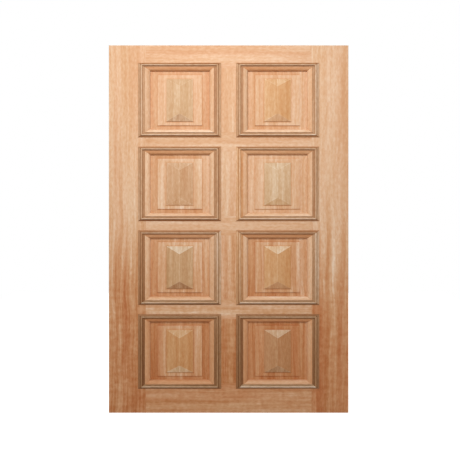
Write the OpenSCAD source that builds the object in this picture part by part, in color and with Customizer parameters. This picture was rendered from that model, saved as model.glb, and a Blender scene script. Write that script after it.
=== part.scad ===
// Panelled timber door leaf: a grooved and dowelled frame of stiles, rails and mullions that holds
// raised and fielded panels, with mitred bolection mouldings and hip-roofed blocks on both faces.
// The origin is at the middle of the leaf's bottom edge: X across, front face to -Y, Z up.

/* [Leaf] */
// Height of the leaf
leaf_h = 2040; // [1900:1:2400]
// Width of the leaf
leaf_w = 1330; // [1200:1:1500]
// Thickness of the stiles, rails and mullions
leaf_t = 40; // [36:1:56]
// Chamfer along the outer edges of both faces
arris = 1.5; // [0.5:0.1:4]

/* [Frame] */
// Width of each stile
stile_w = 205; // [160:1:240]
// Height of the top rail
top_rail_h = 126; // [110:1:180]
// Height of each rail between two rows of panels
mid_rail_h = 108; // [96:1:140]
// Height of the bottom rail
bottom_rail_h = 164; // [130:1:260]
// Width of each mullion between two panels
mullion_w = 167; // [120:1:210]

/* [Grooves] */
// Width of the groove that holds the panels
groove_w = 10; // [8:0.5:14]
// Depth of the groove
groove_depth = 12; // [9:0.5:16]
// Room between the end of a stub tenon and the bottom of its groove
tenon_gap = 1; // [0.5:0.1:2]

/* [Dowels] */
// Dowels at each end of the rails above the bottom one
rail_dowel_count = 2; // [2:1:3]
// Dowels at each end of the bottom rail
bottom_dowel_count = 3; // [2:1:4]
// Diameter of the dowels between rails and stiles
rail_dowel_d = 16; // [12:0.5:18]
// Length of the dowels between rails and stiles
rail_dowel_l = 120; // [80:1:160]
// From the edge of a rail to its nearest dowel
rail_dowel_inset = 32; // [26:1:40]
// Diameter of the dowels between mullions and rails
mullion_dowel_d = 12; // [8:0.5:16]
// Length of the dowels between mullions and rails
mullion_dowel_l = 70; // [50:1:80]
// From the edge of a mullion to its nearest dowel
mullion_dowel_inset = 40; // [26:1:50]
// Chamfer at the ends of every dowel
dowel_chamfer = 1.5; // [0.5:0.1:2.5]
// Room for glue all round a dowel
dowel_clear = 0.05; // [0.02:0.01:0.15]
// Room between the end of a dowel and the bottom of its bore
dowel_end_gap = 1.5; // [0.5:0.1:3]

/* [Panels] */
// Thickness of the panels at the raised field
field_t = 28; // [24:0.5:34]
// Step down from the field to the bevel
field_step = 4; // [1:0.1:5]
// Width of the bevel at the panel's sides
bevel_side_w = 41; // [25:0.5:50]
// Width of the bevel at the panel's top and bottom
bevel_end_w = 22.5; // [15:0.5:40]
// Thickness of the panels at the outer edge of the bevel
bevel_edge_t = 15; // [13:0.5:18]
// Room between each face of a panel's tongue and its groove
tongue_clear = 0.15; // [0.1:0.05:0.3]
// Room for the panel to swell at the bottom of its groove
swell_gap = 1.5; // [1:0.1:3]

/* [Blocks] */
// Field left bare at each side of a block
block_side_border = 49.5; // [35:0.5:60]
// Field left bare above and below a block
block_end_border = 22; // [15:0.5:35]
// Height of the upright edge all round a block
block_edge = 4; // [1.5:0.1:5]
// Rise from that edge to the ridge
block_rise = 12; // [6:0.5:16]
// Run of the two hipped ends
block_end_run = 42; // [25:1:60]

/* [Mouldings] */
// Width of the sloping nose, on the level strips
nose_w = 8; // [6:0.5:12]
// Height of the upright outer edge of the nose above the frame
nose_edge = 2.5; // [1:0.25:4]
// Height of the top of the nose above the frame
nose_h = 8; // [5:0.25:9.5]
// Width of the quirk between the nose and the bead, on the level strips
quirk_w = 2; // [1:0.1:3]
// Height of the bottom of the quirk above the frame
quirk_h = 4; // [2:0.25:4.75]
// Width of the bead, on the level strips
bead_w = 7; // [5:0.5:9]
// Height of the bead above the frame
bead_h = 12.5; // [11:0.25:16]
// Width of the channel between the bead and the ovolo, on the level strips
channel_w = 9; // [4:0.5:12]
// Height of the bottom of the channel above the frame
channel_h = 4; // [2:0.25:5.5]
// Width of the ovolo that falls towards the panel, on the level strips
ovolo_w = 18; // [14:0.5:24]
// Height of the ovolo above the frame
ovolo_h = 9; // [7:0.25:10]
// Upright edge at the foot of the ovolo
foot_edge = 4; // [2:0.5:14]
// How far the strips lap the frame, on the level strips
lap_w = 28; // [24:0.5:32]
// How much wider the upright strips are than the level ones
upright_stretch = 1.5; // [1:0.05:1.7]
// Room between a moulding and the opening's edge, and between its foot and the panel
moulding_clear = 0.3; // [0.1:0.05:0.5]
// Glue line at each mitre, measured along the level strips
mitre_gap = 0.1; // [0.05:0.05:0.3]

/* [Hidden] */
// The rows are numbered from the top, and the sides are as seen from the front.
MID_RAILS = ["upper_rail", "middle_rail", "lower_rail"];
ROWS = [1 : len(MID_RAILS) + 1];
SIDES = ["left", "right"];
FACES = ["front", "back"];
row_count = len(MID_RAILS) + 1;

TIMBER = [0.84, 0.65, 0.49];
PANEL_TIMBER = [0.86, 0.67, 0.52];
BLOCK_TIMBER = [0.77, 0.62, 0.45];
MOULDING_TIMBER = [0.72, 0.54, 0.39];
DOWEL_TIMBER = [0.90, 0.80, 0.62];

// Curves of the mouldings are drawn with this many steps to a quarter turn.
quarter_steps = 7;
// Dowels and their bores are drawn with this many steps to a full turn.
round_steps = 48;
// Cutting shapes reach this far past what they cut.
past = 5;

// Openings between the frame members
rail_l = leaf_w - 2 * stile_w;
open_w = (rail_l - mullion_w) / 2;
open_h = (leaf_h - top_rail_h - bottom_rail_h - len(MID_RAILS) * mid_rail_h) / row_count;
row_pitch = open_h + mid_rail_h;
column_x = (open_w + mullion_w) / 2;
tenon_l = groove_depth - tenon_gap;

// Moulding strips
level_w = nose_w + quirk_w + bead_w + channel_w + ovolo_w;
upright_w = level_w * upright_stretch;
outer_w = open_w + 2 * lap_w * upright_stretch;
outer_h = open_h + 2 * lap_w;
sight_w = outer_w - 2 * upright_w;
sight_h = outer_h - 2 * level_w;

// Panels
tongue_t = groove_w - 2 * tongue_clear;
panel_w = open_w + 2 * (groove_depth - swell_gap);
panel_h = open_h + 2 * (groove_depth - swell_gap);
field_w = sight_w - 2 * bevel_side_w;
field_h = sight_h - 2 * bevel_end_w;
foot_h = (bevel_edge_t - leaf_t) / 2 + moulding_clear;

// Blocks
block_w = field_w - 2 * block_side_border;
block_h = field_h - 2 * block_end_border;

function side_x(side) = side == "left" ? -column_x : column_x;
function row_z(row) = leaf_h - top_rail_h - open_h / 2 - (row - 1) * row_pitch;
function mid_rail_z(index) = row_z(index + 1) - open_h / 2 - mid_rail_h;

// Heights at which a rail of the given height takes its dowels
function dowel_heights(z, h, count) =
    [for (i = [0 : count - 1]) z + rail_dowel_inset + i * (h - 2 * rail_dowel_inset) / (count - 1)];
function mid_rail_dowels(index) = dowel_heights(mid_rail_z(index), mid_rail_h, rail_dowel_count);
top_dowels = dowel_heights(leaf_h - top_rail_h, top_rail_h, rail_dowel_count);
bottom_dowels = dowel_heights(0, bottom_rail_h, bottom_dowel_count);
mid_dowels = [for (i = [0 : len(MID_RAILS) - 1]) each mid_rail_dowels(i)];
all_rail_dowels = concat(top_dowels, mid_dowels, bottom_dowels);
rail_dowel_x = rail_l / 2;
mullion_dowel_x = mullion_w / 2 - mullion_dowel_inset;

// Points of an elliptic arc from one angle to another
function arc(centre, rx, ry, from, to) =
    let (steps = round(abs(to - from) / 90 * quarter_steps))
    [for (i = [0 : steps])
        let (a = from + i * (to - from) / steps)
        centre + [rx * cos(a), ry * sin(a)]];

// Section of a moulding strip, from its outer edge inwards and from the frame's face outwards
function strip_section(stretch) =
    let (
        nose = nose_w * stretch,
        bead_r = bead_w / 2,
        bead_start = nose + quirk_w * stretch,
        bead_end = bead_start + bead_w * stretch,
        bead_centre = [(bead_start + bead_end) / 2, bead_h - bead_r],
        ovolo_start = bead_end + channel_w * stretch,
        ovolo = ovolo_w * stretch,
        back = lap_w * stretch + moulding_clear,
        foot_top = foot_h + foot_edge
    )
    concat(
        [[0, 0], [0, nose_edge], [nose, nose_h], [nose, quirk_h], [bead_start, quirk_h]],
        arc(bead_centre, bead_r * stretch, bead_r, 180, 0),
        [[bead_end, channel_h], [ovolo_start, channel_h]],
        arc([ovolo_start, foot_top], ovolo, ovolo_h - foot_top, 90, 0),
        [[ovolo_start + ovolo, foot_h], [back, foot_h], [back, 0]]
    );

// Half of a panel's section, from the middle of the field to the edge of the tongue
function half_panel_section(panel, open, sight, field) =
    let (shoulder = open / 2 - moulding_clear)
    [
        [field / 2, field_t / 2],
        [field / 2, field_t / 2 - field_step],
        [sight / 2, bevel_edge_t / 2],
        [shoulder, bevel_edge_t / 2],
        [shoulder, tongue_t / 2],
        [panel / 2, tongue_t / 2]
    ];

// The whole section, from its upper right quarter
function panel_section(panel, open, sight, field) =
    let (
        half = half_panel_section(panel, open, sight, field),
        last = len(half) - 1
    )
    concat(
        half,
        [for (i = [last : -1 : 0]) [half[i].x, -half[i].y]],
        [for (point = half) [-point.x, -point.y]],
        [for (i = [last : -1 : 0]) [-half[i].x, half[i].y]]
    );

// Section of a block across its ridge
block_gable = [
    [-block_w / 2, 0],
    [block_w / 2, 0],
    [block_w / 2, block_edge],
    [0, block_edge + block_rise],
    [-block_w / 2, block_edge]
];

// Section of a block along its ridge
block_hip = [
    [-block_h / 2, 0],
    [block_h / 2, 0],
    [block_h / 2, block_edge],
    [block_h / 2 - block_end_run, block_edge + block_rise],
    [block_end_run - block_h / 2, block_edge + block_rise],
    [-block_h / 2, block_edge]
];

// Places its children at the middle of one opening
module at_opening(row, side) {
    translate([side_x(side), 0, row_z(row)]) children();
}

// Turns what is made for the front to the named face
module on_face(face) {
    mirror([0, face == "front" ? 0 : 1, 0]) children();
}

// Prism along Z of a section drawn in X and towards the front
module upright_prism(section, length) {
    rotate([180, 0, 0]) linear_extrude(length, center = true) polygon(section);
}

// Prism along X of a section drawn downwards in Z and towards the front
module level_prism(section, length) {
    rotate([0, 90, 180]) linear_extrude(length, center = true) polygon(section);
}

// Prism through the thickness of the leaf of an outline drawn in X and Z
module through_prism(outline) {
    thickness = leaf_t + 2 * (bead_h + past);
    rotate([90, 0, 0]) linear_extrude(thickness, center = true) polygon(outline);
}

// Cuts the chamfers round the two faces of the leaf
module leaf_arrises() {
    side = arris * sqrt(2);
    for (y = [-leaf_t / 2, leaf_t / 2]) {
        for (x = [-leaf_w / 2, leaf_w / 2])
            translate([x, y, leaf_h / 2]) rotate([0, 0, 45])
                cube([side, side, leaf_h + 2 * past], center = true);
        for (z = [0, leaf_h])
            translate([0, y, z]) rotate([45, 0, 0])
                cube([leaf_w + 2 * past, side, side], center = true);
    }
}

// A groove cut into a level edge at the given height, open to both ends of the member
module level_groove(z) {
    length = rail_l + 2 * (groove_depth + past);
    translate([0, 0, z]) cube([length, groove_w, 2 * groove_depth], center = true);
}

// A dowel or its bore along Z, centred on the joint
module dowel(d, l) {
    r = d / 2;
    rotate_extrude($fn = round_steps) polygon([
        [0, -l / 2],
        [r - dowel_chamfer, -l / 2],
        [r, dowel_chamfer - l / 2],
        [r, l / 2 - dowel_chamfer],
        [r - dowel_chamfer, l / 2],
        [0, l / 2]
    ]);
}

module bore(d, l) {
    cylinder(d = d + 2 * dowel_clear, h = l + 2 * dowel_end_gap, center = true, $fn = round_steps);
}

// Bores for the dowels at both ends of the rails
module rail_bores(heights) {
    for (x = [-rail_dowel_x, rail_dowel_x], z = heights)
        translate([x, 0, z]) rotate([0, 90, 0]) bore(rail_dowel_d, rail_dowel_l);
}

// Bores for the dowels of the mullions that meet a rail's edge at the given height
module mullion_bores(z) {
    for (x = [-mullion_dowel_x, mullion_dowel_x])
        translate([x, 0, z]) bore(mullion_dowel_d, mullion_dowel_l);
}

// A stile of the right-hand side, grooved along its inner edge
module stile() {
    inner_x = leaf_w / 2 - stile_w;
    color(TIMBER) difference() {
        translate([inner_x, -leaf_t / 2, 0]) cube([stile_w, leaf_t, leaf_h]);
        translate([inner_x - groove_depth, -groove_w / 2, -past])
            cube([2 * groove_depth, groove_w, leaf_h + 2 * past]);
        rail_bores(all_rail_dowels);
        leaf_arrises();
    }
}

module right_stile() {
    stile();
}

module left_stile() {
    mirror([1, 0, 0]) stile();
}

// A rail from the given height upwards, with stub tenons at its ends and grooves in the listed edges
module rail(z, h, grooved, dowels) {
    color(TIMBER) difference() {
        union() {
            translate([-rail_l / 2, -leaf_t / 2, z]) cube([rail_l, leaf_t, h]);
            translate([-rail_l / 2 - tenon_l, -groove_w / 2, z]) cube([rail_l + 2 * tenon_l, groove_w, h]);
        }
        for (edge = grooved) {
            level_groove(edge);
            mullion_bores(edge);
        }
        rail_bores(dowels);
        leaf_arrises();
    }
}

module top_rail() {
    z = leaf_h - top_rail_h;
    rail(z, top_rail_h, [z], top_dowels);
}

module bottom_rail() {
    rail(0, bottom_rail_h, [bottom_rail_h], bottom_dowels);
}

module mid_rail(index) {
    z = mid_rail_z(index);
    rail(z, mid_rail_h, [z, z + mid_rail_h], mid_rail_dowels(index));
}

// A mullion, grooved along both sides, with a stub tenon at each end
module mullion(row) {
    groove_l = open_h + 2 * (groove_depth + past);
    color(TIMBER) translate([0, 0, row_z(row)]) difference() {
        union() {
            cube([mullion_w, leaf_t, open_h], center = true);
            cube([mullion_w, groove_w, open_h + 2 * tenon_l], center = true);
        }
        for (x = [-mullion_w / 2, mullion_w / 2])
            translate([x, 0, 0]) cube([2 * groove_depth, groove_w, groove_l], center = true);
        for (z = [-open_h / 2, open_h / 2])
            mullion_bores(z);
    }
}

module rail_dowels() {
    color(DOWEL_TIMBER)
        for (x = [-rail_dowel_x, rail_dowel_x], z = all_rail_dowels)
            translate([x, 0, z]) rotate([0, 90, 0]) dowel(rail_dowel_d, rail_dowel_l);
}

module mullion_dowels() {
    color(DOWEL_TIMBER)
        for (row = ROWS, end = [-open_h / 2, open_h / 2], x = [-mullion_dowel_x, mullion_dowel_x])
            translate([x, 0, row_z(row) + end]) dowel(mullion_dowel_d, mullion_dowel_l);
}

// A raised and fielded panel: the bevels meet in mitres where its two sections cross
module panel(row, side) {
    color(PANEL_TIMBER) at_opening(row, side) intersection() {
        upright_prism(panel_section(panel_w, open_w, sight_w, field_w), panel_h);
        level_prism(panel_section(panel_h, open_h, sight_h, field_h), panel_w);
    }
}

// A block with a hipped ridge, seated on the raised field
module block(face, row, side) {
    color(BLOCK_TIMBER) at_opening(row, side) on_face(face) translate([0, -field_t / 2, 0]) intersection() {
        upright_prism(block_gable, block_h);
        level_prism(block_hip, block_w);
    }
}

// The upper one of two level strips, mitred at both ends
module level_strip() {
    top = outer_h / 2;
    inner = top - level_w;
    long_x = outer_w / 2 - mitre_gap + past * upright_stretch;
    short_x = sight_w / 2 - mitre_gap - past * upright_stretch;
    intersection() {
        translate([0, -leaf_t / 2, top]) level_prism(strip_section(1), outer_w);
        through_prism([
            [-long_x, top + past],
            [long_x, top + past],
            [short_x, inner - past],
            [-short_x, inner - past]
        ]);
    }
}

// The left one of two upright strips, mitred at both ends
module upright_strip() {
    left = -outer_w / 2;
    inner = left + upright_w;
    long_z = outer_h / 2 + past / upright_stretch;
    short_z = sight_h / 2 - past / upright_stretch;
    intersection() {
        translate([left, -leaf_t / 2, 0]) upright_prism(strip_section(upright_stretch), outer_h);
        through_prism([
            [left - past, -long_z],
            [inner + past, -short_z],
            [inner + past, short_z],
            [left - past, long_z]
        ]);
    }
}

// Four mitred strips round one opening
module moulding(face, row, side) {
    color(MOULDING_TIMBER) at_opening(row, side) on_face(face)
        for (turned = [0, 1]) {
            mirror([0, 0, turned]) level_strip();
            mirror([turned, 0, 0]) upright_strip();
        }
}

left_stile();
right_stile();
top_rail();
bottom_rail();
rail_dowels();
mullion_dowels();
for (i = [0 : len(MID_RAILS) - 1])
    mid_rail(i);
for (row = ROWS)
    mullion(row);
for (row = ROWS, side = SIDES)
    panel(row, side);
for (face = FACES, row = ROWS, side = SIDES) {
    block(face, row, side);
    moulding(face, row, side);
}
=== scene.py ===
"""Looks of a panelled timber door leaf: raw reddish timber with a ribbon grain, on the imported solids."""

import bpy
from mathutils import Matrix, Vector


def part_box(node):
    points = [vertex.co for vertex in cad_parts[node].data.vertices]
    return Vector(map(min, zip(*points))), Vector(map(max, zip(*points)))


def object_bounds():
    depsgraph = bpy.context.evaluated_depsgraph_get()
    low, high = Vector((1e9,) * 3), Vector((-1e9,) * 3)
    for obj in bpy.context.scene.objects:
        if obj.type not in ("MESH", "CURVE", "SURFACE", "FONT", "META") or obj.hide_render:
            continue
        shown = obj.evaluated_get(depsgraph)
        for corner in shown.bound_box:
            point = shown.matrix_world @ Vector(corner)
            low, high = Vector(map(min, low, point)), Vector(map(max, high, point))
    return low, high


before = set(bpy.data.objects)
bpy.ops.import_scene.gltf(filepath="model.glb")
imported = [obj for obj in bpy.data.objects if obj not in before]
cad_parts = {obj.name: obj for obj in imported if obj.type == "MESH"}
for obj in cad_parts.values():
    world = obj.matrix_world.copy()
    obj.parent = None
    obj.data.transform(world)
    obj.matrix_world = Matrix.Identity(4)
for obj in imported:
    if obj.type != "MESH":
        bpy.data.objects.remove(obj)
cad_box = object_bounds()

# Names of the pieces: rows are numbered from the top, sides are as seen from the front
ROWS = (1, 2, 3, 4)
SIDES = ("left", "right")
FACES = ("front", "back")
RAILS = ("top_rail", "upper_rail", "middle_rail", "lower_rail", "bottom_rail")

# Dowels, and whether they stand upright
DOWELS = {"rail_dowels": False, "mullion_dowels": True}

# Camera: level and square to the leaf, in metres
VIEW_DISTANCE = 2.3
VIEW_WIDTH = 2.552
VIEW_CENTRE_X = 0.0075
VIEW_CENTRE_Z = 1.015
VIEW_SHIFT = -0.1
SENSOR_WIDTH = 36.0

# Lamps: place, aim, side length in metres, power in watts and colour
KEY_PLACE = (-0.25, -2.0, 2.55)
KEY_AIM = (0.0, 0.0, 1.0)
KEY_SIDE = 0.7
KEY_POWER = 40.0
KEY_COLOUR = (1.0, 0.98, 0.95)
BACK_PLACE = (0.6, 2.4, 2.4)
BACK_AIM = (0.0, 0.0, 1.0)
BACK_SIDE = 1.4
BACK_POWER = 45.0
BACK_COLOUR = (1.0, 0.98, 0.95)
FILL_COLOUR = (1.0, 0.88, 0.76)
FILL_STRENGTH = 0.42

# Floor and background: the floor shows this glow to the camera besides the light that falls on it
FLOOR_SIDE = 5.0
FLOOR_COLOUR = (0.6, 0.6, 0.6)
FLOOR_ROUGHNESS = 1.0
FLOOR_SPECULAR = 0.0
FLOOR_GLOW = 0.86
WHITE = (1.0, 1.0, 1.0)
WHITE_STRENGTH = 1.0

# Finish of the solids' edges, in metres and radians
WELD_REACH = 0.00001
FLAT_ANGLE = 0.01
EDGE_WIDTH = 0.0005
EDGE_ANGLE = 0.6
EDGE_STEPS = 2

# Timber colours, linear: each timber runs between a rosier and a straw-coloured tint
FRAME_TINTS = ((0.705, 0.42, 0.26), (0.69, 0.442, 0.26))
PANEL_TINTS = ((0.72, 0.445, 0.285), (0.705, 0.455, 0.27))
TAN_TINTS = ((0.66, 0.45, 0.285), (0.64, 0.455, 0.28))
BROWN_TINTS = ((0.66, 0.428, 0.27), (0.645, 0.43, 0.265))
GOLDEN_TINTS = ((0.69, 0.42, 0.225), (0.68, 0.43, 0.235))
# A darker, duller copy of the block timbers: painted shade on the blocks' lower ends
SHADED_END_TINTS = ((0.505, 0.303, 0.175), (0.495, 0.307, 0.175))
BEAD_TINTS = ((0.58, 0.36, 0.222), (0.57, 0.375, 0.23))
LOW_SHADE_BEAD_TINTS = ((0.5, 0.325, 0.195), (0.492, 0.33, 0.2))
GOLDEN_BEAD_TINTS = ((0.645, 0.362, 0.187), (0.635, 0.37, 0.19))
# The ovolo's timber, paler and whiter than the frame's: partly its own colour, partly painted sheen on its
# slope
OVOLO_TINTS = ((0.74, 0.475, 0.305), (0.725, 0.475, 0.295))
SHEEN_OVOLO_TINTS = ((0.71, 0.478, 0.322), (0.7, 0.48, 0.315))
DOWEL_TINTS = ((0.72, 0.55, 0.36), (0.74, 0.58, 0.38))

# Depth of colour: this one shows a tint as it is written, a greater one is deeper, a lesser one paler
PLAIN_DEPTH = 1.0

# Painted shade: low down the timber is painted deeper, in place of light that falls off towards the foot:
# heights in metres, then the extra depth of each part
LOW_START = 1.2
LOW_FULL = 0.15
LOW_FRAME = 0.72
LOW_PANEL = 0.52
LOW_UPRIGHT_BEAD = 0.54
LOW_UPPER_BEAD = 0.1
LOW_LOWER_BEAD = -0.22
LOW_OVOLO = 0.3

# Low down the grain is bolder, and the frame has a rippled figure: heights in metres
BOLD_START = 1.25
BOLD_FULL = 0.75
FIGURE_START = 1.1
FIGURE_FULL = 0.4

# Contrast of the grain: on small pieces, then high up and low down on the others
PLAIN_CONTRAST = 1.0
CONTRASTS = (1.0, 2.0)
BOARD_CONTRASTS = {
    "left_stile": (1.0, 2.3),
    "right_stile": (0.75, 2.0),
    "top_rail": (0.85, 0.85),
    "middle_rail": (0.9, 0.9),
    "lower_rail": (1.5, 1.5),
    "bottom_rail": (1.4, 1.4),
    "mullion_3": (1.0, 2.6),
}

# Frame: pieces cut from paler or deeper boards than their neighbours
BOARD_DEPTHS = {
    "right_stile": -0.08,
    "middle_rail": -0.12,
    "lower_rail": -0.53,
    "bottom_rail": -0.35,
    "mullion_1": 0.06,
    "mullion_2": -0.1,
    "mullion_3": -0.13,
    "mullion_4": 0.1,
}

# Pieces sawn from a board of their own, by its number
BOARD_SEEDS = {"middle_rail": 74, "lower_rail": 62, "panel_4_left": 83}

# Panels: extra depth on the field, on the bevels and on the right-hand bevel
PLAIN_PANEL = (0.0, 0.0, 0.0)
PANEL_DEPTHS = {
    "1_right": (0.0, 0.0, -0.25),
    "2_left": (-0.2, 0.0, -0.15),
    "2_right": (0.0, -0.25, -0.3),
    "3_right": (-0.1, -0.05, -0.4),
    "4_left": (-0.15, -0.1, 0.15),
    "4_right": (0.25, 0.1, -0.3),
}

# Blocks: timber and depth, which grows in the lower rows as painted shade, then painted light and shade on
# the faces: extra depth of the right-hand face and of the upper end, and the timber and depth of the lower
# end, painted as in shade
BLOCK_LOOKS = {
    "1_left": (TAN_TINTS, 1.1, 0.1, 0.1, SHADED_END_TINTS, 0.95),
    "1_right": (GOLDEN_TINTS, 1.1, 0.15, -0.13, BROWN_TINTS, 1.3),
    "2_left": (BROWN_TINTS, 1.08, 0.15, -0.1, BROWN_TINTS, 1.13),
    "2_right": (TAN_TINTS, 0.9, 0.1, 0.0, TAN_TINTS, 1.25),
    "3_left": (TAN_TINTS, 1.35, 0.0, -0.6, SHADED_END_TINTS, 1.38),
    "3_right": (GOLDEN_TINTS, 1.2, 0.15, -0.5, BROWN_TINTS, 1.6),
    "4_left": (GOLDEN_TINTS, 1.4, 0.0, -0.35, TAN_TINTS, 1.12),
    "4_right": (BROWN_TINTS, 1.5, 0.3, -0.55, SHADED_END_TINTS, 1.23),
}

# Mouldings: extra depth of band and ovolo on the left-hand strip, then on the right-hand one
STRIP_DEPTHS = {
    "1_left": ((0.1, 0.1), (0.0, 0.0)),
    "1_right": ((0.0, 0.1), (-0.25, 0.0)),
    "2_left": ((0.0, -0.3), (0.3, 0.1)),
    "2_right": ((-0.25, 0.0), (0.0, 0.0)),
    "3_left": ((0.4, 0.0), (-0.25, 0.0)),
    "3_right": ((-0.1, 0.0), (-0.15, 0.0)),
    "4_left": ((0.1, 0.0), (0.0, 0.2)),
    "4_right": ((0.35, 0.25), (0.0, 0.1)),
}

# Mouldings: extra depth of nose, bead, channel and ovolo on the strips above and below a panel, painted
# shade that follows how the light from above falls on each part
UPPER_STRIP_SHADE = (0.75, 0.12, 0.35, 0.62)
LOWER_STRIP_SHADE = (1.05, 0.0, 0.1, 0.0)

# Mouldings: tints of band and ovolo, the ovolo's paler, whiter tints partly a painted sheen on its slope,
# and where the left-hand strip is of another cut, with a golden band, or has more painted sheen on its
# ovolo
STRIP_TINTS = (BEAD_TINTS, OVOLO_TINTS)
LEFT_STRIP_TINTS = {
    "1_left": (BEAD_TINTS, SHEEN_OVOLO_TINTS),
    "1_right": (BEAD_TINTS, SHEEN_OVOLO_TINTS),
    "2_right": (GOLDEN_BEAD_TINTS, OVOLO_TINTS),
    "3_right": (GOLDEN_BEAD_TINTS, OVOLO_TINTS),
}

# Grain: how often each layer changes in a metre across, through and along the timber
WANDER_RATES = (4.0, 4.0, 3.0)
TINT_RATES = (22.0, 10.0, 0.7)
BROAD_RATES = (12.0, 6.0, 0.8)
RIBBON_RATES = (50.0, 25.0, 1.6)
STREAK_RATES = (210.0, 120.0, 6.0)
FLECK_RATES = (110.0, 70.0, 45.0)
PORE_RATES = (850.0, 500.0, 45.0)
FIGURE_RATES = (26.0, 10.0, 40.0)
WEAR_RATES = (30.0, 30.0, 30.0)

# Grain: how far each layer deepens or pales the timber
BROAD_DEPTH = 0.28
RIBBON_DEPTH = 0.42
STREAK_DEPTH = 0.2
FLECK_DEPTH = 0.29
PORE_DEPTH = 0.34
FIGURE_DEPTH = 0.2
WEAR_DEPTH = 0.4

# Noise: its middle value, its fineness, where pores show in it and how far it bends the grain in metres
NOISE_MIDDLE = 0.5
PLAIN_DETAIL = 1.0
RIBBON_DETAIL = 1.5
STREAK_DETAIL = 2.0
PORE_START = 0.6
PORE_FULL = 0.74
WANDER_REACH = 0.035

# Noise: how far apart two boards lie in it, in metres
SEED_STEP = (3.71, 1.37, 5.23)

# Panels: drop of the bevel below the field, borders of the field round a block, and width of the painted
# shadow lines and seams round block and field, in metres
BEVEL_START = 0.001
BEVEL_FULL = 0.0035
FIELD_SIDE_BORDER = 0.0495
FIELD_END_BORDER = 0.022
SHADOW_LINE_WIDTH = 0.009

# Panels: depth of the bevels, painted shade of the recess, then of the painted shadow below block and
# field, share of it in the dark seams at their other sides, and wear on the field's rim
BEVEL_SHADE_DEPTH = 0.24
SHADOW_LINE_DEPTH = 0.7
SEAM_SIDE_SHARE = 0.4
FIELD_WEAR = 0.4

# Blocks: run of the hipped ends in metres, then the share of the rise that is worn at hips and ridge
HIP_RUN = 0.042
HIP_WEAR = 0.07

# Mouldings: lap in millimetres, then where a strip's parts start and how wide lines are, as shares of it
LAP = 28.0
NOSE_END = 8.0 / LAP
BEAD_START = 10.0 / LAP
BEAD_END = 17.0 / LAP
OVOLO_START = 26.0 / LAP
LINE_BLUR = 0.04
MITRE_WIDTH = 0.05
CREST_WIDTH = 0.09

# Mouldings: extra depth of the lines, painted shade in the quirk and channel, and of the mitres, and how
# far the strips differ
CREASE_SHADE_DEPTH = 0.25
MITRE_DEPTH = 0.4
STRIP_SWING = 0.16

# Mouldings: steps that give each strip a number of its own
STRIP_STEP = 5.0
STRIP_SEED_STEP = 0.37

# Leaf: worn width along its outer edges and the fields' rims, in metres
WORN_EDGE = 0.006

# Surface of sanded timber
SPECULAR = 0.3
ROUGH_LEAST = 0.5
ROUGH_RANGE = 0.22
BUMP_REACH = 0.0004
BUMP_STRENGTH = 0.5

# Sockets of the mix node that carry colours
MIX_FIRST = 6
MIX_SECOND = 7
MIX_RESULT = 2


def opaque(colour):
    """A colour as shader sockets take it."""
    return (*colour, 1.0)


class Graph:
    """A tree of shader nodes, with a short call for each kind that is used here."""

    def __init__(self, tree):
        self.tree = tree

    def feed(self, socket, value):
        """Links an output to a socket, or sets a constant on it."""
        if isinstance(value, bpy.types.NodeSocket):
            self.tree.links.new(value, socket)
        else:
            socket.default_value = value

    def make(self, kind, inputs, **settings):
        """A node of that kind with its settings and inputs."""
        node = self.tree.nodes.new(kind)
        for name, value in settings.items():
            setattr(node, name, value)
        for name, value in inputs.items():
            self.feed(node.inputs[name], value)
        return node

    def math(self, operation, a, b=0.0, c=0.0):
        return self.make("ShaderNodeMath", {0: a, 1: b, 2: c}, operation=operation).outputs[0]

    def add(self, a, b):
        return self.math("ADD", a, b)

    def times(self, a, b):
        return self.math("MULTIPLY", a, b)

    def less(self, a, b):
        return self.math("SUBTRACT", a, b)

    def apart(self, a, b):
        """The distance between two numbers."""
        return self.math("ABSOLUTE", self.less(a, b))

    def rest(self, share):
        """What a share leaves of 1."""
        return self.less(1.0, share)

    def between(self, share, a, b):
        """The number a where share is 0, b where it is 1."""
        return self.math("MULTIPLY_ADD", share, self.less(b, a), a)

    def mix(self, share, a, b):
        """The colour a where share is 0, b where it is 1."""
        first, second = [end if isinstance(end, bpy.types.NodeSocket) else opaque(end) for end in (a, b)]
        inputs = {0: share, MIX_FIRST: first, MIX_SECOND: second}
        return self.make("ShaderNodeMix", inputs, data_type="RGBA").outputs[MIX_RESULT]

    def vector(self, operation, a, b):
        return self.make("ShaderNodeVectorMath", {0: a, 1: b}, operation=operation).outputs[0]

    def point(self, x, y, z):
        return self.make("ShaderNodeCombineXYZ", {0: x, 1: y, 2: z}).outputs[0]

    def noise(self, point, rates, detail=PLAIN_DETAIL):
        """Noise from 0 to 1 that changes about so often in a metre along each axis."""
        place = self.vector("MULTIPLY", point, rates)
        inputs = {"Vector": place, "Scale": 1.0, "Detail": detail}
        return self.make("ShaderNodeTexNoise", inputs).outputs[0]

    def ease(self, value, low, high):
        """0 where the value is low, 1 where it is high, with a smooth change between."""
        ends = {"Value": value, "From Min": low, "From Max": high}
        return self.make("ShaderNodeMapRange", ends, interpolation_type="SMOOTHSTEP").outputs[0]

    def band(self, value, low, high, blur):
        """1 between two values, 0 outside them."""
        return self.times(self.ease(value, low - blur, low), self.ease(value, high + blur, high))

    def place(self):
        """The three coordinates of a point on the solid, in metres in the row frame."""
        coordinates = self.make("ShaderNodeTexCoord", {}).outputs["Object"]
        return self.make("ShaderNodeSeparateXYZ", {0: coordinates}).outputs


def new_material(name):
    """A material and the graph of its nodes."""
    material = bpy.data.materials.new(name)
    material.use_nodes = True
    return material, Graph(material.node_tree)


def middle_and_half(low, high):
    """The middle of a box and half its size."""
    return (low + high) / 2, (high - low) / 2


def grain_axes(x, y, z, upright):
    """The coordinates across, through and along the grain of an upright or a level piece."""
    return (x, y, z) if upright else (z, y, x)


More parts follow.
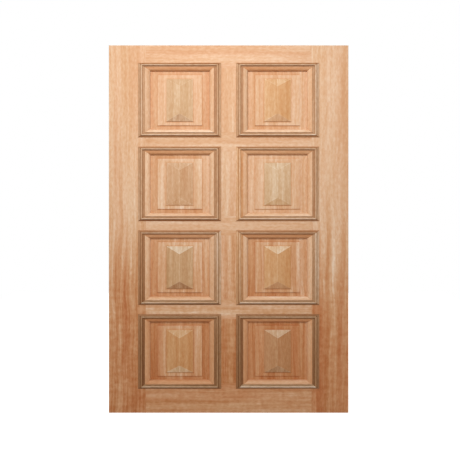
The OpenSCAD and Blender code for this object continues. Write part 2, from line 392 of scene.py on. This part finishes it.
def swing(g, value, reach):
    """A noise value turned into a change of depth of up to that reach either way."""
    return g.times(g.less(NOISE_MIDDLE, value), reach / NOISE_MIDDLE)


def deepened(g, share, depth, extra):
    """A depth with an extra one on the share of the surface where that is found."""
    return g.math("MULTIPLY_ADD", share, extra, depth)


def total(g, shares, depths):
    """The sum of depths, each on its own share of the surface."""
    result = 0.0
    for share, depth in zip(shares, depths):
        result = deepened(g, share, result, depth)
    return result


def finish_timber(g, axes, tints, depth, seed, contrast, worn, figure=None):
    """Sets a timber surface with its grain along the last axis, in tints of the given depth."""
    start = Vector(SEED_STEP) * seed
    base = g.vector("ADD", g.point(*axes), start)
    wander = g.times(g.noise(base, WANDER_RATES), WANDER_REACH)
    grain = g.vector("ADD", base, g.point(wander, 0.0, 0.0))

    streak = g.noise(grain, STREAK_RATES, STREAK_DETAIL)
    pore = g.ease(g.noise(grain, PORE_RATES), PORE_START, PORE_FULL)
    layers = [
        swing(g, g.noise(grain, BROAD_RATES), BROAD_DEPTH),
        swing(g, g.noise(grain, RIBBON_RATES, RIBBON_DETAIL), RIBBON_DEPTH),
        swing(g, streak, STREAK_DEPTH),
        g.times(pore, PORE_DEPTH),
    ]
    if figure is not None:
        waves = swing(g, g.noise(grain, FIGURE_RATES), FIGURE_DEPTH)
        layers.append(g.times(waves, figure))
    for layer in layers:
        depth = deepened(g, layer, depth, contrast)
    depth = g.add(swing(g, g.noise(grain, FLECK_RATES), FLECK_DEPTH), depth)
    rubbed = g.times(worn, g.noise(base, WEAR_RATES))
    depth = deepened(g, rubbed, depth, -WEAR_DEPTH)

    tint = g.mix(g.noise(grain, TINT_RATES), *tints)
    colour = g.make("ShaderNodeGamma", {"Color": tint, "Gamma": depth}).outputs[0]
    shader = g.tree.nodes["Principled BSDF"]
    g.feed(shader.inputs["Base Color"], colour)
    g.feed(shader.inputs["Specular IOR Level"], SPECULAR)
    g.feed(shader.inputs["Roughness"], g.math("MULTIPLY_ADD", streak, ROUGH_RANGE, ROUGH_LEAST))
    relief = {"Height": g.less(streak, pore), "Distance": BUMP_REACH, "Strength": BUMP_STRENGTH}
    g.feed(shader.inputs["Normal"], g.make("ShaderNodeBump", relief).outputs[0])


def low_shade(g, z):
    """0 in the upper half of the leaf, rising to 1 near its foot, where the painted shade lies."""
    return g.ease(z, LOW_START, LOW_FULL)


def bold(g, z, high_contrast, low_contrast):
    """The contrast of the grain, which changes on the way down the leaf."""
    return g.between(g.ease(z, BOLD_START, BOLD_FULL), high_contrast, low_contrast)


def leaf_wear(g, x, z):
    """1 along the outer edges of the leaf, 0 inside them."""
    low, high = cad_box
    side = g.less(high[0], g.math("ABSOLUTE", x))
    end = g.math("MINIMUM", g.less(z, low[2]), g.less(high[2], z))
    return g.ease(g.math("MINIMUM", side, end), WORN_EDGE, 0.0)


def frame_timber(name, upright, seed):
    """Timber of a stile, rail or mullion."""
    material, g = new_material(name)
    x, y, z = g.place()
    axes = grain_axes(x, y, z, upright)
    # Painted shade: the frame is deeper towards the foot of the leaf
    depth = deepened(g, low_shade(g, z), PLAIN_DEPTH + BOARD_DEPTHS.get(name, 0.0), LOW_FRAME)
    figure = g.ease(z, FIGURE_START, FIGURE_FULL)
    contrast = bold(g, z, *BOARD_CONTRASTS.get(name, CONTRASTS))
    finish_timber(g, axes, FRAME_TINTS, depth, seed, contrast, leaf_wear(g, x, z), figure)
    return material


def outside(g, x, z, middle, half_w, half_h):
    """How far a point lies outside an upright rectangle; less than 0 inside it."""
    beside = g.less(g.apart(x, middle.x), half_w)
    beyond = g.less(g.apart(z, middle.z), half_h)
    return g.math("MAXIMUM", beside, beyond)


def shadow_line(g, z, distance, foot):
    """1 in the painted shadow below a raised piece that ends at the given foot, less in the dark seams at
    its other sides.
    """
    shadow_mask = g.times(g.math("GREATER_THAN", distance, 0.0), g.ease(distance, SHADOW_LINE_WIDTH, 0.0))
    return g.times(shadow_mask, g.between(g.math("LESS_THAN", z, foot), SEAM_SIDE_SHARE, 1.0))


def panel_timber(name, block, field_depth, bevel_depth, right_depth, seed):
    """Timber of a panel, painted deeper on the bevel than on the raised field as shade in the recess, with
    a painted shadow below the block and the field and dark seams at their other sides.
    """
    material, g = new_material(name)
    x, y, z = g.place()
    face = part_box(name)[1].y
    bevel = g.ease(g.less(face, g.math("ABSOLUTE", y)), BEVEL_START, BEVEL_FULL)
    middle, half = middle_and_half(*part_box(block))
    field_w = half.x + FIELD_SIDE_BORDER
    field_h = half.z + FIELD_END_BORDER
    off_block = outside(g, x, z, middle, half.x, half.z)
    off_field = outside(g, x, z, middle, field_w, field_h)
    # Painted shadow below the block and below the raised field, dark seams at their other sides
    block_shadow = shadow_line(g, z, off_block, middle.z - half.z)
    field_shadow = shadow_line(g, z, off_field, middle.z - field_h)
    rim = g.times(g.ease(off_field, -WORN_EDGE, 0.0), g.rest(bevel))

    right = g.math("GREATER_THAN", x, middle.x + field_w)
    # Painted shade on the bevel, in the recess under the moulding
    bevel_tone = g.between(right, BEVEL_SHADE_DEPTH + bevel_depth, BEVEL_SHADE_DEPTH + right_depth)
    # Painted shade: the panel is deeper towards the foot of the leaf
    low_depth = deepened(g, low_shade(g, z), PLAIN_DEPTH, LOW_PANEL)
    depth = g.add(g.between(bevel, field_depth, bevel_tone), low_depth)
    depth = deepened(g, g.math("MAXIMUM", block_shadow, field_shadow), depth, SHADOW_LINE_DEPTH)
    contrast = bold(g, z, *CONTRASTS)
    finish_timber(g, (x, y, z), PANEL_TINTS, depth, seed, contrast, g.times(rim, FIELD_WEAR))
    return material


def block_timber(name, tints, depth, right_depth, painted_upper_depth, shaded_lower_tints, shaded_lower_depth, seed):
    """Timber of a block, worn along its hips and ridge, with painted light and shade on its faces: a
    deeper right-hand face, a paler or deeper upper end and a lower end in shaded tints of its own.
    """
    material, g = new_material(name)
    x, y, z = g.place()
    middle, half = middle_and_half(*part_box(name))
    side_rise = g.math("DIVIDE", g.less(half.x, g.apart(x, middle.x)), half.x)
    end_rise = g.math("DIVIDE", g.less(half.z, g.apart(z, middle.z)), HIP_RUN)
    on_end = g.math("LESS_THAN", end_rise, side_rise)
    upper = g.math("GREATER_THAN", z, middle.z)
    # Painted light and shade on the ends: the upper end paler or deeper, the lower end in shaded tints and
    # depth of its own
    end_tone = g.between(upper, shaded_lower_depth, depth + painted_upper_depth)
    # Painted shade: the right-hand face, turned from the light, is deeper
    side_tone = deepened(g, g.math("GREATER_THAN", x, middle.x), depth, right_depth)
    tone = g.between(on_end, side_tone, end_tone)
    shaded_lower_end = g.times(on_end, g.rest(upper))
    shown_tints = [g.mix(shaded_lower_end, tint, lower) for tint, lower in zip(tints, shaded_lower_tints)]
    hip = g.ease(g.apart(side_rise, end_rise), HIP_WEAR, 0.0)
    ridge = g.ease(side_rise, 1.0 - HIP_WEAR, 1.0)
    worn = g.math("MAXIMUM", hip, ridge)
    finish_timber(g, (x, y, z), shown_tints, tone, seed, PLAIN_CONTRAST, worn)
    return material


def moulding_laps(row, side, low, high):
    """How far a moulding laps the upright and the level members round its opening."""
    mullion_low, mullion_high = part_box("mullion_" + str(row))
    rail_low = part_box(RAILS[row - 1])[0]
    upright_lap = high.x - mullion_low.x if side == "left" else mullion_high.x - low.x
    return upright_lap, high.z - rail_low.z


def laps_from_edge(g, offset, half, lap):
    """How far a point lies inside a moulding's outer edge, where 1 is the edge of the opening."""
    return g.math("DIVIDE", g.less(half, g.math("ABSOLUTE", offset)), lap)


def strip_parts(g, reach):
    """The shares of nose, quirk, bead, channel and ovolo at a point of a strip."""
    nose = g.ease(reach, NOSE_END + LINE_BLUR, NOSE_END - LINE_BLUR)
    quirk = g.band(reach, NOSE_END, BEAD_START, LINE_BLUR)
    bead = g.band(reach, BEAD_START, BEAD_END, LINE_BLUR)
    channel = g.band(reach, BEAD_END, OVOLO_START, LINE_BLUR)
    ovolo = g.ease(reach, OVOLO_START - LINE_BLUR, OVOLO_START + LINE_BLUR)
    return nose, quirk, bead, channel, ovolo


def strip_tints(g, share, ovolo, bead_tints, ovolo_tints):
    """The two tints of a strip, which change from its band, duller low down as painted shade, to its
    ovolo.
    """
    bands = [g.mix(share, bead, low) for bead, low in zip(bead_tints, LOW_SHADE_BEAD_TINTS)]
    return [g.mix(ovolo, band, slope) for band, slope in zip(bands, ovolo_tints)]


def strip_depth(g, parts, share, upright, far, left_depths, right_depths):
    """The depth of a strip, by its part, its side of the panel and its height, with painted shade on the
    level strips, towards the foot and in the quirk and channel.
    """
    nose, quirk, bead, channel, ovolo = parts
    forms = (nose, bead, channel, ovolo)
    # Painted shade on the level strips' parts, by how the light from above falls on them
    level_shade = g.between(far, total(g, forms, LOWER_STRIP_SHADE), total(g, forms, UPPER_STRIP_SHADE))
    upright_tone = g.between(far, g.between(ovolo, *left_depths), g.between(ovolo, *right_depths))
    low_level = g.between(far, LOW_LOWER_BEAD, LOW_UPPER_BEAD)
    low_bead = g.between(upright, low_level, LOW_UPRIGHT_BEAD)
    depth = deepened(g, share, PLAIN_DEPTH, g.between(ovolo, low_bead, LOW_OVOLO))
    depth = g.add(g.between(upright, level_shade, upright_tone), depth)
    # Painted shade in the quirk and channel
    return deepened(g, g.math("MAXIMUM", quirk, channel), depth, CREASE_SHADE_DEPTH)


def strip_change(g, strip, seed):
    """A change of depth that each strip has to itself."""
    number = {"W": g.add(strip, STRIP_SEED_STEP * seed)}
    mark = g.make("ShaderNodeTexWhiteNoise", number, noise_dimensions="1D").outputs[0]
    return swing(g, mark, STRIP_SWING)


def moulding_timber(name, row, side, left_tints, left_depths, right_depths, seed):
    """Timber of four mitred strips, each with its grain along the strip and a tone of its own."""
    material, g = new_material(name)
    x, y, z = g.place()
    low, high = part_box(name)
    middle, half = middle_and_half(low, high)
    lap_x, lap_z = moulding_laps(row, side, low, high)
    dx = g.less(x, middle.x)
    dz = g.less(z, middle.z)
    reach_x = laps_from_edge(g, dx, half.x, lap_x)
    reach_z = laps_from_edge(g, dz, half.z, lap_z)
    reach = g.math("MINIMUM", reach_x, reach_z)
    upright = g.math("LESS_THAN", reach_x, reach_z)
    across = g.between(upright, dz, dx)
    along = g.between(upright, dx, dz)
    far = g.math("GREATER_THAN", across, 0.0)
    strip = g.math("MULTIPLY_ADD", upright, STRIP_STEP, g.math("SIGN", across))

    parts = strip_parts(g, reach)
    ovolo = parts[-1]
    # Painted shade: towards the foot of the leaf the strips change depth and their band grows duller
    share = low_shade(g, z)
    plain_tints = strip_tints(g, share, ovolo, *STRIP_TINTS)
    own_tints = strip_tints(g, share, ovolo, *left_tints)
    left = g.times(upright, g.rest(far))
    tints = [g.mix(left, plain, own) for plain, own in zip(plain_tints, own_tints)]

    mitre = g.ease(g.apart(reach_x, reach_z), MITRE_WIDTH, 0.0)
    depth = strip_depth(g, parts, share, upright, far, left_depths, right_depths)
    depth = deepened(g, mitre, depth, MITRE_DEPTH)
    depth = g.add(strip_change(g, strip, seed), depth)
    crest = (BEAD_START + BEAD_END) / 2
    worn = g.band(reach, crest, crest, CREST_WIDTH)
    finish_timber(g, (across, g.add(y, strip), along), tints, depth, seed, PLAIN_CONTRAST, worn)
    return material


def dowel_timber(name, upright, seed):
    """Timber of the dowels inside the joints."""
    material, g = new_material(name)
    axes = grain_axes(*g.place(), upright)
    finish_timber(g, axes, DOWEL_TINTS, PLAIN_DEPTH, seed, PLAIN_CONTRAST, 0.0)
    return material


def smooth_faces():
    """A group that shades every face smooth."""
    tree = bpy.data.node_groups.new("smooth_faces", "GeometryNodeTree")
    tree.interface.new_socket("Geometry", in_out="INPUT", socket_type="NodeSocketGeometry")
    tree.interface.new_socket("Geometry", in_out="OUTPUT", socket_type="NodeSocketGeometry")
    source = tree.nodes.new("NodeGroupInput")
    shade = tree.nodes.new("GeometryNodeSetShadeSmooth")
    result = tree.nodes.new("NodeGroupOutput")
    tree.links.new(source.outputs[0], shade.inputs[0])
    tree.links.new(shade.outputs[0], result.inputs[0])
    return tree


def ease_edges(piece, shading):
    """Takes the sharpness off a solid's edges, as sanding does."""
    weld = piece.modifiers.new("weld", "WELD")
    weld.merge_threshold = WELD_REACH
    flat = piece.modifiers.new("flat", "DECIMATE")
    flat.decimate_type = "DISSOLVE"
    flat.angle_limit = FLAT_ANGLE
    edge = piece.modifiers.new("edge", "BEVEL")
    edge.limit_method = "ANGLE"
    edge.angle_limit = EDGE_ANGLE
    edge.width = EDGE_WIDTH
    edge.segments = EDGE_STEPS
    smooth = piece.modifiers.new("smooth", "NODES")
    smooth.node_group = shading
    normals = piece.modifiers.new("normals", "WEIGHTED_NORMAL")
    normals.keep_sharp = True


def dress(name, material):
    """Gives a solid its material."""
    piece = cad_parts[name]
    piece.data.materials.clear()
    piece.data.materials.append(material)


def aim(thing, target):
    """Turns a lamp or a camera towards a point."""
    away = Vector(thing.location) - Vector(target)
    thing.rotation_euler = away.to_track_quat("Z", "Y").to_euler()


def soft_box(name, place, target, side, power, colour):
    """A square soft lamp."""
    lamp = bpy.data.lights.new(name, "AREA")
    lamp.shape = "SQUARE"
    lamp.size = side
    lamp.energy = power
    lamp.color = colour
    holder = bpy.data.objects.new(name, lamp)
    holder.location = place
    aim(holder, target)
    bpy.context.scene.collection.objects.link(holder)


def seen_directly(g):
    """1 on rays that show the background itself, to the camera or in a reflection."""
    path = g.make("ShaderNodeLightPath", {}).outputs
    direct = g.math("MAXIMUM", path["Is Camera Ray"], path["Is Glossy Ray"])
    return g.math("MAXIMUM", direct, path["Is Transmission Ray"])


def white_world():
    """A dim warm fill on the object, before a white background."""
    world = bpy.data.worlds.new("studio")
    world.use_nodes = True
    bpy.context.scene.world = world
    g = Graph(world.node_tree)
    fill = g.tree.nodes["Background"]
    fill.inputs["Color"].default_value = opaque(FILL_COLOUR)
    fill.inputs["Strength"].default_value = FILL_STRENGTH
    white = g.make("ShaderNodeBackground", {"Color": opaque(WHITE), "Strength": WHITE_STRENGTH})
    both = g.make("ShaderNodeMixShader", {0: seen_directly(g), 1: fill.outputs[0], 2: white.outputs[0]})
    g.feed(g.tree.nodes["World Output"].inputs["Surface"], both.outputs[0])


def pale_floor():
    """A pale floor that shows white and keeps the object's shadow."""
    mesh = bpy.data.meshes.new("floor")
    half = FLOOR_SIDE / 2
    corners = [(-half, -half, 0.0), (half, -half, 0.0), (half, half, 0.0), (-half, half, 0.0)]
    mesh.from_pydata(corners, [], [(0, 1, 2, 3)])
    floor = bpy.data.objects.new("floor", mesh)
    bpy.context.scene.collection.objects.link(floor)
    material, g = new_material("pale_floor")
    shader = g.tree.nodes["Principled BSDF"]
    shader.inputs["Base Color"].default_value = opaque(FLOOR_COLOUR)
    shader.inputs["Roughness"].default_value = FLOOR_ROUGHNESS
    shader.inputs["Specular IOR Level"].default_value = FLOOR_SPECULAR
    strength = g.times(seen_directly(g), FLOOR_GLOW)
    glow = g.make("ShaderNodeEmission", {"Color": opaque(WHITE), "Strength": strength})
    both = g.make("ShaderNodeAddShader", {0: shader.outputs[0], 1: glow.outputs[0]})
    g.feed(g.tree.nodes["Material Output"].inputs["Surface"], both.outputs[0])
    mesh.materials.append(material)


def square_camera():
    """A level camera before the middle of the view."""
    data = bpy.data.cameras.new("camera")
    data.sensor_width = SENSOR_WIDTH
    data.lens = SENSOR_WIDTH * VIEW_DISTANCE / VIEW_WIDTH
    data.shift_y = VIEW_SHIFT
    camera = bpy.data.objects.new("camera", data)
    face_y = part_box("left_stile")[0].y
    height = VIEW_CENTRE_Z - VIEW_SHIFT * VIEW_WIDTH
    camera.location = (VIEW_CENTRE_X, face_y - VIEW_DISTANCE, height)
    aim(camera, (VIEW_CENTRE_X, face_y, height))
    bpy.context.scene.collection.objects.link(camera)
    bpy.context.scene.camera = camera


bpy.context.scene.view_settings.view_transform = "Standard"
square_camera()
white_world()
pale_floor()
soft_box("key", KEY_PLACE, KEY_AIM, KEY_SIDE, KEY_POWER, KEY_COLOUR)
soft_box("back", BACK_PLACE, BACK_AIM, BACK_SIDE, BACK_POWER, BACK_COLOUR)

seeds = {name: number for number, name in enumerate(sorted(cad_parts), start=1)}
seeds.update(BOARD_SEEDS)
for side in SIDES:
    name = side + "_stile"
    dress(name, frame_timber(name, True, seeds[name]))
for name in RAILS:
    dress(name, frame_timber(name, False, seeds[name]))
for row in ROWS:
    name = "mullion_" + str(row)
    dress(name, frame_timber(name, True, seeds[name]))
    for side in SIDES:
        place = str(row) + "_" + side
        name = "panel_" + place
        depths = PANEL_DEPTHS.get(place, PLAIN_PANEL)
        left_tints = LEFT_STRIP_TINTS.get(place, STRIP_TINTS)
        dress(name, panel_timber(name, "front_block_" + place, *depths, seeds[name]))
        for face in FACES:
            name = face + "_block_" + place
            dress(name, block_timber(name, *BLOCK_LOOKS[place], seeds[name]))
            name = face + "_moulding_" + place
            timber = moulding_timber(name, row, side, left_tints, *STRIP_DEPTHS[place], seeds[name])
            dress(name, timber)
for name, upright in DOWELS.items():
    dress(name, dowel_timber(name, upright, seeds[name]))

shading = smooth_faces()
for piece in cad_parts.values():
    ease_edges(piece, shading)
